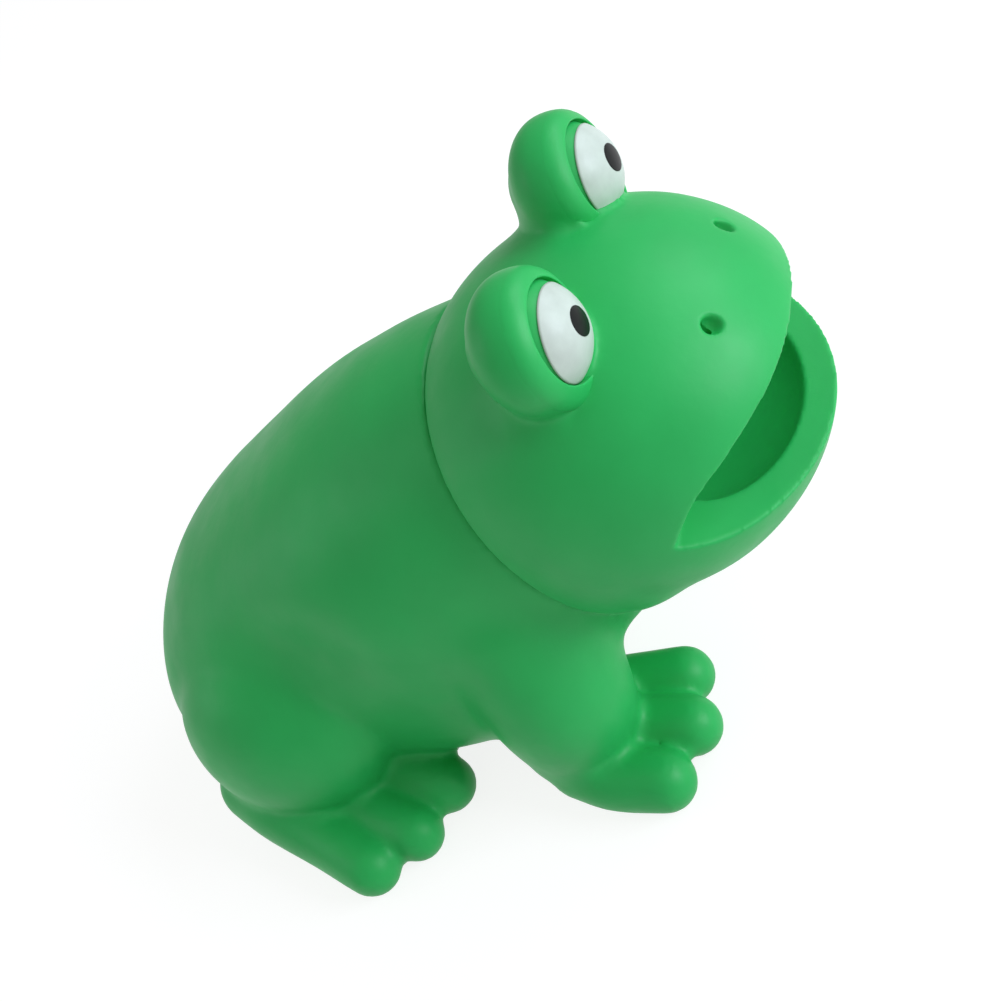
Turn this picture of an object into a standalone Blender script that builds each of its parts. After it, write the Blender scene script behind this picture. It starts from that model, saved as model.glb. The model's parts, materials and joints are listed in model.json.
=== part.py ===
"""Squeaky frog dog toy: a hollow soft vinyl body and a hollow head that turns on a snap-in neck,
with a reed squeaker pressed into the belly. Metres, +Z up. The frog faces -Y and stands on Z = 0."""

import math

import bmesh
import bpy
import numpy as np
from mathutils import Matrix, Vector

MM = 0.001

# Driving dimensions, in millimetres and degrees
NECK_HEIGHT = 47.0
NECK_AHEAD = 22.85
NECK_PITCH = 22.0
SEAM_GAP = 0.6
WALL = 2.4
FIT_GAP = 0.3

# The torso, as rows of: distance behind the neck seam, rise of the middle, half width, height, depth
TORSO = (
    (-6.0, 0.0, 26.6, 26.4, 26.6),
    (0.0, 0.0, 27.2, 27.0, 27.0),
    (14.0, 0.2, 29.5, 29.2, 28.7),
    (30.0, 0.8, 32.0, 29.0, 31.6),
    (48.0, 1.6, 31.2, 26.8, 30.4),
    (66.0, 1.8, 31.5, 25.1, 25.6),
    (92.0, 2.0, 32.5, 25.0, 23.0),
)
TORSO_FRONT = -6.0
RUMP_START = 56.0
TORSO_LENGTH = 92.0
RUMP_FULLNESS = 2.3
FLANK_FULLNESS = 3.4
BACK_FULLNESS = ((20.0, 2.0), (40.0, 2.15), (60.0, 2.15), (75.0, 2.0))
BELLY_FULLNESS = ((0.0, 2.0), (32.0, 4.0), (45.0, 4.0), (65.0, 2.7))

# The head's outline from the side, as radii every 30 degrees from straight ahead up and round
HEAD_MIDDLE_AHEAD = 14.0
HEAD_HALF_WIDTH = 31.0
HEAD_RADII = (31.4, 29.9, 28.4, 28.5, 30.0, 30.4, 30.0, 30.4, 28.7, 24.7, 27.3, 30.4)
HEAD_FULLNESS = 2.15

# The mouth opens between two planes that meet at its corners, round a hollow pocket
MOUTH_CORNER_AHEAD = 24.0
MOUTH_CORNER_RISE = -3.0
UPPER_LIP_ANGLE = 6.0
LOWER_LIP_ANGLE = -45.0
POCKET_AHEAD = 3.0
POCKET_RADII = (22.3, 15.0, 10.4)
POCKET_WALL = 2.2

# Eyes and nostrils, on the left side, in the neck's own frame
EYE_MIDDLE = (16.1, -25.8, 26.7)
EYE_RADIUS = 8.2
EYE_WALL = 1.6
EYE_DIP = 17.5
HOOD_RADIUS = 9.8
HOOD_EDGE = 4.8
HOOD_BACK = 8.5
PUPIL_DIP = 11.0
PUPIL_RADII = (2.05, 1.3, 2.05)
PUPIL_GAP = 0.15
NOSTRIL = (9.6, -41.4, 10.2)
NOSTRIL_RADII = (1.6, 1.8, 1.3)

# Legs of the left side: rows of x, y behind the neck seam, height and radius
THIGH_MIDDLE = (25.5, 60.8, 19.8)
THIGH_RADII = (14.4, 19.7, 18.8)
THIGH_SPLAY = 10.0
THIGH_LEAN = 12.0
REAR_TOES = (
    ((29.9, 73.5, 8.0, 7.2), (34.4, 66.2, 6.8, 7.1), (40.2, 56.7, 5.0, 5.9), (46.0, 47.5, 4.4, 5.0)),
    ((30.0, 62.0, 5.5, 6.2), (35.0, 51.6, 4.8, 5.6), (40.3, 40.3, 4.3, 4.8)),
    ((26.0, 50.0, 6.0, 6.4), (31.6, 36.2, 4.6, 5.0)),
)
ARM = ((20.0, 12.2, 34.0, 12.8), (25.0, 9.9, 21.0, 12.3), (25.6, 10.4, 9.8, 10.6))
FRONT_TOES = (
    ((30.5, 10.4, 5.8, 6.2), (33.2, 4.6, 4.8, 5.5), (34.5, -3.6, 4.4, 5.1)),
    ((24.0, 6.0, 4.6, 5.2), (24.9, -7.1, 4.4, 5.0)),
    ((15.8, 6.0, 4.6, 5.0), (15.2, -5.0, 4.4, 4.9)),
)

# The snap-in neck: a hollow post on the body, with a groove that the head's rear wall turns in
POST_BORE = 8.0
POST_FOOT = 3.0
GROOVE_RADIUS = 11.0
BEAD_RADIUS = 12.6
BEAD_LENGTH = 3.2
HEAD_FLOOR = 2.4

# The squeaker, in its own frame: Z runs inwards from the outer face of its flange
SQUEAKER_BEHIND = 40.0
SQUEAKER_HEIGHT = 2.4
SQUEAKER_TILT = 4.0
FLANGE_RADIUS = 10.5
FLANGE_THICK = 1.6
BOSS_RADIUS = 13.5
BARREL_RADIUS = 7.7
BARREL_BORE = 6.3
BARREL_LENGTH = 15.0
SNAP_RADIUS = 8.6
SNAP_LENGTH = 2.4
HOUSING_FLOOR = 2.0
SOUND_HOLE = 2.2
TUBE_RADIUS = 3.4
TUBE_BORE = 2.2
TUBE_LENGTH = 9.5
TUBE_FLAT = 2.7
TUBE_TOP = 1.0
SLOT_HALF_WIDTH = 1.1
REED_WIDTH = 3.2
REED_THICK = 0.3
SLEEVE_BORE = 4.0
SLEEVE_RADIUS = 5.4
SLEEVE_LENGTH = 2.6
CAP_THICK = 1.4
CAP_SPIGOT = 1.6
VENT_RADIUS = 1.1
VENT_CIRCLE = 3.4
VENTS = 3

VINYL_GREEN = (0.055, 0.32, 0.10)
EYE_WHITE = (0.76, 0.80, 0.78)
PUPIL_BLACK = (0.012, 0.014, 0.013)
HOUSING_WHITE = (0.70, 0.70, 0.67)
REED_CLEAR = (0.62, 0.60, 0.50)

# Moulded skins, as: voxel size, rounds of softening, rounds of filling, share of the facets kept
BODY_SKIN = (1.2, 3, 54, 0.052)
HEAD_SKIN = (0.8, 3, 25, 0.042)
CAVITY_SKIN = (2.0, 2, 0, 0.06)

# Where the creases of the vinyl are filled, as distances that the filling fades over, and how strongly
FILL_PACE = 0.6
ABOVE_FEET = (11.0, 18.0)
HAUNCH_BEHIND = (23.0, 35.0)
WRIST_BEHIND = (4.0, 9.0)
HOOD_AHEAD = (2.5, -1.0)
ARM_FILL = 0.35
HAUNCH_FILL = 0.5
WRIST_FILL = 0.6

NECK_PLACE = Matrix.Translation(Vector((0.0, -NECK_AHEAD, NECK_HEIGHT)) * MM)
NECK = NECK_PLACE @ Matrix.Rotation(math.radians(-NECK_PITCH), 4, "X")
SIDES = (("left", 1), ("right", -1))


def clear_scene():
    for item in list(bpy.data.objects):
        bpy.data.objects.remove(item, do_unlink=True)


def plain_finish(name, colour, roughness):
    """An even finish for vinyl, plastic or paint."""
    finish = bpy.data.materials.new(name)
    finish.use_nodes = True
    shader = finish.node_tree.nodes["Principled BSDF"]
    shader.inputs["Base Color"].default_value = (*colour, 1.0)
    shader.inputs["Roughness"].default_value = roughness
    shader.inputs["Metallic"].default_value = 0.0
    return finish


def place(name, bm, parent=None, finish=None):
    """Puts a closed mesh in the scene. A shape with no finish is a hidden helper for cutting."""
    bmesh.ops.recalc_face_normals(bm, faces=bm.faces)
    mesh = bpy.data.meshes.new(name)
    bm.to_mesh(mesh)
    bm.free()
    mesh.shade_smooth()
    item = bpy.data.objects.new(name, mesh)
    item.parent = parent
    bpy.context.scene.collection.objects.link(item)
    if finish:
        mesh.materials.append(finish)
    else:
        item.hide_render = True
        item.display_type = "WIRE"
    return item


def combine(item, other, operation):
    """Joins another shape to this one, or cuts it away."""
    step = item.modifiers.new(f"{operation.title()} {other.name}", "BOOLEAN")
    step.operation = operation
    step.solver = "EXACT"
    step.object = other


def settle(item):
    """Keeps what the modifiers make as the piece's own mesh."""
    graph = bpy.context.evaluated_depsgraph_get()
    made = bpy.data.meshes.new_from_object(item.evaluated_get(graph))
    item.modifiers.clear()
    item.data = made
    made.shade_smooth()


def fade(values, start, end):
    """Goes smoothly from 0 at the start value to 1 at the end value."""
    share = np.clip((values - start) / (end - start), 0.0, 1.0)
    return share * share * (3 - 2 * share)


def fill_creases(mesh, weigh, rounds):
    """Fills the hollows of a skin as soft fillets, by a weight for each point."""
    points = np.array([vertex.co for vertex in mesh.vertices])
    edges = np.array([edge.vertices for edge in mesh.edges])
    ends = np.concatenate([edges[:, 0], edges[:, 1]])
    others = np.concatenate([edges[:, 1], edges[:, 0]])
    share = (FILL_PACE * weigh(points / MM) / np.bincount(ends))[:, None]
    for _ in range(rounds):
        facing = np.array([normal.vector for normal in mesh.vertex_normals])
        pull = [np.bincount(ends, points[others, axis] - points[ends, axis]) for axis in range(3)]
        lift = np.einsum("ij,ij->i", np.transpose(pull), facing)
        points += share * np.maximum(lift, 0.0)[:, None] * facing
        mesh.vertices.foreach_set("co", points.ravel())
        mesh.update()


def mould_skin(item, skin, weigh=None):
    """Melts overlapping forms into one soft skin, fills its creases and thins its facets."""
    voxel, softenings, fillings, keep = skin
    melt = item.modifiers.new("Melt", "REMESH")
    melt.mode = "VOXEL"
    melt.voxel_size = voxel * MM
    melt.use_smooth_shade = True
    soften = item.modifiers.new("Soften", "SMOOTH")
    soften.factor = 0.5
    soften.iterations = softenings
    if weigh:
        settle(item)
        fill_creases(item.data, weigh, fillings)
    thin = item.modifiers.new("Thin", "DECIMATE")
    thin.ratio = keep
    thin.use_symmetry = True
    thin.symmetry_axis = "X"


def smooth_rows(rows, count):
    """Rows read along a smooth curve that passes through each given row."""
    rows = np.array(rows, float)
    steps = np.linspace(0, len(rows) - 1, count)
    low = np.minimum(steps.astype(int), len(rows) - 2)
    t = (steps - low)[:, None]
    padded = np.vstack([2 * rows[0] - rows[1], rows, 2 * rows[-1] - rows[-2]])
    before, start, end, after = (padded[low + k] for k in range(4))
    linear = end - before
    square = 2 * before - 5 * start + 4 * end - after
    cubic = 3 * start - before - 3 * end + after
    return start + 0.5 * (linear * t + square * t**2 + cubic * t**3)


def loft(bm, rings):
    """Adds a closed skin over rings of points, given in millimetres."""
    loops = [[bm.verts.new(Vector(point) * MM) for point in ring] for ring in rings]
    for near, far in zip(loops, loops[1:]):
        for i in range(len(near)):
            j = i - 1
            bm.faces.new((near[j], near[i], far[i], far[j]))
    bm.faces.new(loops[0])
    bm.faces.new(loops[-1])


def turns(count):
    return [2 * math.pi * i / count for i in range(count)]


def ellipsoid(bm, middle, radii, turn=None, detail=24):
    """Adds an ellipsoid in millimetres."""
    axes = (turn or Matrix()) @ Matrix.Diagonal((*radii, 1.0))
    matrix = Matrix.Diagonal((MM, MM, MM, 1.0)) @ Matrix.Translation(middle) @ axes
    rings = detail * 2 // 3
    bmesh.ops.create_uvsphere(bm, u_segments=detail, v_segments=rings, radius=1.0, matrix=matrix)


def tube(bm, points, radii, level, sides=16):
    """Adds a tapered tube with round ends through the points, in millimetres."""
    last = len(points) - 1
    steps = [points[min(i + 1, last)] - points[max(i - 1, 0)] for i in range(last + 1)]
    heading = [step.normalized() for step in steps]
    stops = list(zip(points, heading, radii))
    cap = [math.radians(angle) for angle in (22, 44, 66, 86)]
    for end, way in ((0, -1), (last, 1)):
        for a in cap:
            middle = points[end] + way * radii[end] * math.sin(a) * heading[end]
            stop = (middle, heading[end], radii[end] * math.cos(a))
            stops.insert(0 if way < 0 else len(stops), stop)
    rings = []
    for middle, along, radius in stops:
        across = along.cross(level).normalized()
        over = along.cross(across)
        ring = [math.cos(a) * across + math.sin(a) * over for a in turns(sides)]
        rings.append([middle + radius * spoke for spoke in ring])
    loft(bm, rings)


def limb(bm, rows, side, inset=0.0):
    """Adds a limb or toe through rows of x, y behind the seam, height and radius."""
    rows = smooth_rows(rows, 10).tolist()
    points = [Vector((side * x, y - NECK_AHEAD, z)) for x, y, z, _ in rows]
    tube(bm, points, [radius - inset for *_, radius in rows], Vector((1, 0, 0)))


def eye_axes(side, dip):
    """The middle of an eye, with the way it faces and the way up across its face."""
    lean = math.radians(dip)
    facing = Vector((0, -math.cos(lean), -math.sin(lean)))
    upwards = Vector((0, -math.sin(lean), math.cos(lean)))
    return Vector(mirrored(EYE_MIDDLE, side)), facing, upwards


def hood(bm, side):
    """Adds the hood of an eye: a ball, flatter behind, with its front cut away round the eye."""
    middle, facing, upwards = eye_axes(side, EYE_DIP)
    rings = []
    for ahead in np.linspace(-0.995 * HOOD_BACK, HOOD_EDGE, 18).tolist():
        reach = HOOD_BACK if ahead < 0 else HOOD_RADIUS
        radius = HOOD_RADIUS * math.sqrt(1 - (ahead / reach) ** 2)
        centre = middle + facing * ahead
        across = Vector((radius, 0, 0))
        tall = radius * upwards
        rings.append([centre + math.cos(a) * across + math.sin(a) * tall for a in turns(28)])
    loft(bm, rings)


def fuller(angle, fullness):
    """The cosine and sine of an angle, pushed out from a circle to a squarer round."""
    power = 2.0 / fullness
    pair = (math.cos(angle), math.sin(angle))
    return [math.copysign(abs(value) ** power, value) for value in pair]


def torso(bm, inset=0.0, front=TORSO_FRONT, count=26, sides=40):
    """Adds the torso, a long egg that starts round at the neck and closes in a round rump."""
    stops = smooth_rows(TORSO, 200)
    length = TORSO_LENGTH - inset
    rings = []
    for behind in length - (length - front) * (1 - np.cos(np.linspace(0.06, math.pi / 2, count))):
        _, rise, width, height, depth = (np.interp(behind, stops[:, 0], column) for column in stops.T)
        gone = max((behind - RUMP_START) / (length - RUMP_START), 0.0)
        close, narrow = (max(1 - gone**full, 1e-4) ** (1 / full) for full in (RUMP_FULLNESS, FLANK_FULLNESS))
        back, belly = (np.interp(behind, *zip(*rows)) for rows in (BACK_FULLNESS, BELLY_FULLNESS))
        ring = []
        for a in turns(sides):
            above = math.sin(a) > 0
            out, up = fuller(a, back if above else belly)
            tall = (height if above else depth) - inset
            ring.append((out * narrow * (width - inset), behind, rise + up * close * tall))
        rings.append([NECK @ (Vector(point) * MM) / MM for point in ring])
    loft(bm, rings)


def around(values, angle):
    """One of the values spaced evenly round a turn, read on a smooth closed curve."""
    step = angle / (2 * math.pi) * len(values)
    low = math.floor(step)
    t = step - low
    before, start, end, after = (values[(low + k) % len(values)] for k in range(-1, 3))
    linear = end - before
    square = 2 * before - 5 * start + 4 * end - after
    cubic = 3 * start - before - 3 * end + after
    return start + 0.5 * (linear * t + square * t**2 + cubic * t**3)


def head_ball(bm, inset=0.0, count=25, sides=40):
    """Adds the head, with its side outline swept out to the cheeks."""
    rings = []
    for lean in np.linspace(-0.49, 0.49, count) * math.pi:
        ring = []
        for a in turns(sides):
            swell = (HEAD_FULLNESS - 2.0) * (1 + math.sin(a)) / 2
            inwards, sideways = fuller(lean, 2.0 + swell)
            reach = (around(HEAD_RADII, a) - inset) * inwards
            x = (HEAD_HALF_WIDTH - inset) * sideways
            ring.append((x, -HEAD_MIDDLE_AHEAD - reach * math.cos(a), reach * math.sin(a)))
        rings.append(ring)
    loft(bm, rings)


def mirrored(point, side):
    return (side * point[0], point[1], point[2])


def turned(name, profile, parent=None, finish=None, segments=28):
    """A shape turned about its own Z from a closed profile of radius and height, in millimetres."""
    bm = bmesh.new()
    loop = [bm.verts.new((radius * MM, 0.0, height * MM)) for radius, height in profile]
    edges = [bm.edges.new((loop[i - 1], loop[i])) for i in range(len(loop))]
    axis = {"axis": (0, 0, 1), "cent": (0, 0, 0), "angle": 2 * math.pi}
    bmesh.ops.spin(bm, geom=loop + edges, steps=segments, **axis)
    bmesh.ops.remove_doubles(bm, verts=bm.verts, dist=0.001 * MM)
    bmesh.ops.dissolve_degenerate(bm, edges=bm.edges, dist=0.001 * MM)
    return place(name, bm, parent, finish)


def rod(name, radius, low, high, parent, segments=28):
    """A plain round bar along its own Z, for cutting."""
    return turned(name, ((0, low), (radius, low), (radius, high), (0, high)), parent, None, segments)


def slab(name, low, high, parent=None, finish=None):
    """A box between two corners, in millimetres."""
    bm = bmesh.new()
    size = [b - a for a, b in zip(low, high)]
    middle = [(a + b) / 2 for a, b in zip(low, high)]
    matrix = Matrix.Translation(Vector(middle) * MM) @ Matrix.Diagonal((*(s * MM for s in size), 1.0))
    bmesh.ops.create_cube(bm, size=1.0, matrix=matrix)
    return place(name, bm, parent, finish)


def along_neck(item):
    """Lays a turned shape along the neck axis, with its Z pointing ahead."""
    item.rotation_euler = (math.radians(90), 0, 0)
    return item


def neck_frame():
    """The empty that the head turns with: its Y axis is the neck's axis."""
    frame = bpy.data.objects.new("neck", None)
    frame.location = (0, -NECK_AHEAD * MM, NECK_HEIGHT * MM)
    frame.rotation_euler = (math.radians(-NECK_PITCH), 0, 0)
    bpy.context.scene.collection.objects.link(frame)
    return frame


def squeaker_frame():
    """The empty in the middle of the squeaker's flange, tilted to stand square to the belly."""
    frame = bpy.data.objects.new("squeaker", None)
    frame.location = (0, (SQUEAKER_BEHIND - NECK_AHEAD) * MM, SQUEAKER_HEIGHT * MM)
    frame.rotation_euler = (math.radians(-SQUEAKER_TILT), 0, 0)
    bpy.context.scene.collection.objects.link(frame)
    return frame


def body_forms(inset, with_feet):
    """The torso, thighs, arms and feet as overlapping closed forms."""
    bm = bmesh.new()
    torso(bm, inset, front=TORSO_FRONT if with_feet else inset)
    for _, side in SIDES:
        x, y, z = mirrored(THIGH_MIDDLE, side)
        splay = Matrix.Rotation(side * math.radians(THIGH_SPLAY), 4, "Z")
        lean = Matrix.Rotation(-side * math.radians(THIGH_LEAN), 4, "Y")
        ellipsoid(bm, (x, y - NECK_AHEAD, z), [r - inset for r in THIGH_RADII], splay @ lean)
        limb(bm, ARM, side, inset)
        if with_feet:
            for toe in REAR_TOES + FRONT_TOES:
                limb(bm, toe, side)
    return bm


def above_feet(points):
    """How far the creases of the body are filled: most at the haunches, less at the arms, not at the feet."""
    behind = points[:, 1] + NECK_AHEAD
    haunch = fade(behind, *HAUNCH_BEHIND)
    wrist = fade(behind, *WRIST_BEHIND) * (1 - haunch)
    upper = ARM_FILL + (HAUNCH_FILL - ARM_FILL) * haunch
    return np.maximum(fade(points[:, 2], *ABOVE_FEET) * upper, WRIST_FILL * wrist)


def neck_post(neck):
    """The hollow post that the head snaps on to: a groove, then a bead wider than the head's hole."""
    groove_end = SEAM_GAP + HEAD_FLOOR + FIT_GAP
    end = groove_end + BEAD_LENGTH
    profile = (
        (GROOVE_RADIUS + POST_FOOT, -POST_FOOT / 2),
        (GROOVE_RADIUS, 0.0),
        (GROOVE_RADIUS, groove_end),
        (BEAD_RADIUS, groove_end + 0.5),
        (BEAD_RADIUS, end - 1.2),
        (BEAD_RADIUS - 1.6, end),
        (POST_BORE, end),
        (POST_BORE, -POST_FOOT / 2),
    )
    return along_neck(turned("neck_post", profile, neck))


def body_cavity(squeaker):
    """The hollow inside the body, which leaves a thick boss round the squeaker's hole."""
    cavity = place("body_cavity", body_forms(WALL, False))
    mould_skin(cavity, CAVITY_SKIN)
    boss = rod("squeaker_boss", BOSS_RADIUS, -20.0, FLANGE_THICK + FIT_GAP + WALL, squeaker)
    combine(cavity, boss, "DIFFERENCE")
    return cavity


def body_shell(neck, squeaker, finish):
    """The hollow body, cut flat at the neck and under the feet, with its neck post and belly hole."""
    body = place("body_shell", body_forms(0.0, True), finish=finish)
    mould_skin(body, BODY_SKIN, above_feet)
    combine(body, slab("neck_cut", (-60, -40, -60), (60, 0, 60), neck), "DIFFERENCE")
    combine(body, slab("sole_cut", (-90, -90, -30), (90, 120, 0)), "DIFFERENCE")
    combine(body, body_cavity(squeaker), "DIFFERENCE")
    combine(body, neck_post(neck), "UNION")
    bore = rod("neck_bore", POST_BORE, -WALL - 2.0, 2.0, neck)
    combine(body, along_neck(bore), "DIFFERENCE")
    hole = BARREL_RADIUS + FIT_GAP
    seat = FLANGE_RADIUS + FIT_GAP
    face = FLANGE_THICK + FIT_GAP
    profile = ((0, 16), (hole, 16), (hole, face), (seat, face), (seat, -9), (0, -9))
    combine(body, turned("squeaker_hole", profile, squeaker), "DIFFERENCE")
    return body


def mouth_frame(back):
    """The middle of the mouth's opening: a point behind its corners, and the way it faces."""
    middle = math.radians((UPPER_LIP_ANGLE + LOWER_LIP_ANGLE) / 2)
    half = math.radians((UPPER_LIP_ANGLE - LOWER_LIP_ANGLE) / 2)
    facing = Vector((0, -math.cos(middle), math.sin(middle)))
    corner = Vector((0, -MOUTH_CORNER_AHEAD, MOUTH_CORNER_RISE))
    return corner - facing * back / math.sin(half), facing, middle


def mouth_wedge(name, neck, grow):
    """The space between the lips: two planes that meet on a line through the mouth's corners."""
    bm = bmesh.new()
    corner, _, _ = mouth_frame(grow)
    profile = [corner]
    for angle in (UPPER_LIP_ANGLE, LOWER_LIP_ANGLE):
        lean = math.radians(angle)
        profile.append(corner + 60.0 * Vector((0, -math.cos(lean), math.sin(lean))))
    loft(bm, [[(x, point.y, point.z) for point in profile] for x in (-50, 50)])
    return place(name, bm, neck)


def mouth_pocket(name, neck, grow):
    """The rounded hollow behind the lips."""
    bm = bmesh.new()
    corner, facing, middle = mouth_frame(0.0)
    lean = Matrix.Rotation(-middle, 4, "X")
    radii = [r + grow for r in POCKET_RADII]
    ellipsoid(bm, corner + facing * POCKET_AHEAD, radii, lean)
    return place(name, bm, neck)


def head_forms():
    """The head and its two eye hoods."""
    bm = bmesh.new()
    head_ball(bm)
    for _, side in SIDES:
        hood(bm, side)
    return bm


def behind_eyes(points):
    """How far the creases of the head are filled: behind the front edges of the hoods."""
    ahead = np.zeros(len(points))
    for _, side in SIDES:
        middle, facing, _ = eye_axes(side, EYE_DIP)
        reach = (points - np.array(middle)) @ np.array(facing)
        ahead = np.where(points[:, 0] * side > 0, reach, ahead)
    return fade(ahead, *HOOD_AHEAD)


def head_cavity(neck):
    """The hollow inside the head, kept clear of the mouth pocket, the eyes and the rear wall."""
    bm = bmesh.new()
    head_ball(bm, WALL, 13, 20)
    cavity = place("head_cavity", bm, neck)
    combine(cavity, mouth_wedge("mouth_wall", neck, POCKET_WALL), "DIFFERENCE")
    combine(cavity, mouth_pocket("pocket_wall", neck, POCKET_WALL), "DIFFERENCE")
    for name, side in SIDES:
        combine(cavity, eye_ball(f"{name}_eye_wall", side, neck, FIT_GAP + EYE_WALL), "DIFFERENCE")
    behind = SEAM_GAP + HEAD_FLOOR
    combine(cavity, slab("head_floor", (-60, -behind, -60), (60, 60, 60), neck), "DIFFERENCE")
    return cavity


def head_shell(neck, finish):
    """The hollow head, open at the mouth, with a round hole in its rear wall for the neck post."""
    head = place("head_shell", head_forms(), neck, finish)
    mould_skin(head, HEAD_SKIN, behind_eyes)
    combine(head, slab("seam_cut", (-60, -SEAM_GAP, -60), (60, 60, 60), neck), "DIFFERENCE")
    combine(head, mouth_wedge("mouth_cut", neck, 0.0), "DIFFERENCE")
    combine(head, mouth_pocket("pocket_cut", neck, 0.0), "DIFFERENCE")
    combine(head, head_cavity(neck), "DIFFERENCE")
    bore = rod("head_hole", GROOVE_RADIUS + FIT_GAP, -4.0, 6.0, neck)
    combine(head, along_neck(bore), "DIFFERENCE")
    for name, side in SIDES:
        combine(head, eye_ball(f"{name}_eye_socket", side, neck, FIT_GAP), "DIFFERENCE")
        bm = bmesh.new()
        ellipsoid(bm, mirrored(NOSTRIL, side), NOSTRIL_RADII, detail=12)
        combine(head, place(f"{name}_nostril", bm, neck), "DIFFERENCE")
    return head


def eye_ball(name, side, neck, grow=0.0, finish=None):
    """A ball round the middle of one eye."""
    bm = bmesh.new()
    ellipsoid(bm, mirrored(EYE_MIDDLE, side), [EYE_RADIUS + grow] * 3, detail=18)
    return place(name, bm, neck, finish)


def pupil_lens(name, side, neck, grow=0.0, finish=None):
    """A round lens let into the front of one eye."""
    bm = bmesh.new()
    middle, facing, _ = eye_axes(side, PUPIL_DIP)
    lean = Matrix.Rotation(math.radians(PUPIL_DIP), 4, "X")
    ellipsoid(bm, middle + facing * EYE_RADIUS, [r + grow for r in PUPIL_RADII], lean, 14)
    return place(name, bm, neck, finish)


def eye(name, side, neck, white, black):
    """One eye: the white ball in its socket and the pupil let flush into the front of it."""
    ball = eye_ball(f"{name}_eye_white", side, neck, finish=white)
    combine(ball, pupil_lens(f"{name}_pupil_seat", side, neck, PUPIL_GAP), "DIFFERENCE")
    pupil = pupil_lens(f"{name}_pupil", side, neck, finish=black)
    combine(pupil, eye_ball(f"{name}_pupil_face", side, neck, PUPIL_GAP / 2), "INTERSECT")


def squeaker_housing(frame, finish):
    """The flanged cup, with the snap ring that holds it behind the vinyl wall."""
    profile = (
        (SOUND_HOLE, 0.0),
        (FLANGE_RADIUS - 0.5, 0.0),
        (FLANGE_RADIUS, 0.5),
        (FLANGE_RADIUS, FLANGE_THICK),
        (BARREL_RADIUS, FLANGE_THICK),
        (BARREL_RADIUS, BARREL_LENGTH),
        (BARREL_BORE, BARREL_LENGTH),
        (BARREL_BORE, HOUSING_FLOOR),
        (SOUND_HOLE, HOUSING_FLOOR),
    )
    housing = turned("squeaker_housing", profile, frame, finish)
    snap = FLANGE_THICK + FIT_GAP + WALL + FIT_GAP
    inside = BARREL_RADIUS - 0.4
    ring = ((inside, snap), (SNAP_RADIUS, snap + SNAP_LENGTH / 3), (inside, snap + SNAP_LENGTH))
    combine(housing, turned("snap_ring", ring, frame), "UNION")
    return housing


def squeaker_reed_tube(frame, finish):
    """The tube over the sound hole, with a flat face and a slot that the reed beats on."""
    floor = HOUSING_FLOOR + FIT_GAP
    top = floor + TUBE_LENGTH
    profile = (
        (TUBE_BORE, floor),
        (TUBE_RADIUS, floor),
        (TUBE_RADIUS, top),
        (0.0, top),
        (0.0, top - TUBE_TOP),
        (TUBE_BORE, top - TUBE_TOP),
    )
    reed_tube = turned("squeaker_reed_tube", profile, frame, finish)
    flat = slab("reed_flat", (-5, TUBE_FLAT, floor + 1.0), (5, 8, top + 2), frame)
    combine(reed_tube, flat, "DIFFERENCE")
    low = (-SLOT_HALF_WIDTH, 0, floor + SLEEVE_LENGTH + 1.2)
    high = (SLOT_HALF_WIDTH, 8, top - TUBE_TOP - 0.4)
    combine(reed_tube, slab("reed_slot", low, high, frame), "DIFFERENCE")
    return reed_tube


def squeaker_reed(frame, finish):
    """The thin reed, which lies just clear of the tube's flat face and bends from its clamped root."""
    floor = HOUSING_FLOOR + FIT_GAP
    face = TUBE_FLAT + FIT_GAP
    low = (-REED_WIDTH / 2, face, floor + 1.3)
    high = (REED_WIDTH / 2, face + REED_THICK, floor + TUBE_LENGTH - 0.3)
    return slab("squeaker_reed", low, high, frame, finish)


def squeaker_sleeve(frame, finish):
    """The ring that clamps the root of the reed to the tube."""
    floor = HOUSING_FLOOR + 3 * FIT_GAP
    top = floor + SLEEVE_LENGTH
    profile = ((SLEEVE_BORE, floor), (SLEEVE_RADIUS, floor), (SLEEVE_RADIUS, top), (SLEEVE_BORE, top))
    return turned("squeaker_sleeve", profile, frame, finish)


def squeaker_cap(frame, finish):
    """The vented cap on the inner end of the housing."""
    rest = BARREL_LENGTH + FIT_GAP
    spigot = BARREL_BORE - FIT_GAP
    profile = (
        (0, rest - CAP_SPIGOT),
        (spigot, rest - CAP_SPIGOT),
        (spigot, rest),
        (BARREL_RADIUS, rest),
        (BARREL_RADIUS, rest + CAP_THICK),
        (0, rest + CAP_THICK),
    )
    cap = turned("squeaker_cap", profile, frame, finish)
    for number, angle in enumerate(turns(VENTS), 1):
        hole = rod(f"cap_vent_{number}", VENT_RADIUS, rest - 4, rest + 4, frame, 12)
        hole.location = (VENT_CIRCLE * MM * math.cos(angle), VENT_CIRCLE * MM * math.sin(angle), 0)
        combine(cap, hole, "DIFFERENCE")
    return cap


def main():
    clear_scene()
    neck = neck_frame()
    squeaker = squeaker_frame()
    head_shell(neck, plain_finish("head_vinyl", VINYL_GREEN, 0.5))
    body_shell(neck, squeaker, plain_finish("body_vinyl", VINYL_GREEN, 0.5))
    for name, side in SIDES:
        white = plain_finish(f"{name}_eye_white", EYE_WHITE, 0.4)
        black = plain_finish(f"{name}_pupil", PUPIL_BLACK, 0.3)
        eye(name, side, neck, white, black)
    squeaker_housing(squeaker, plain_finish("housing_plastic", HOUSING_WHITE, 0.45))
    squeaker_reed_tube(squeaker, plain_finish("tube_plastic", HOUSING_WHITE, 0.45))
    squeaker_reed(squeaker, plain_finish("reed_film", REED_CLEAR, 0.3))
    squeaker_sleeve(squeaker, plain_finish("sleeve_plastic", HOUSING_WHITE, 0.45))
    squeaker_cap(squeaker, plain_finish("cap_plastic", HOUSING_WHITE, 0.45))


main()
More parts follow.
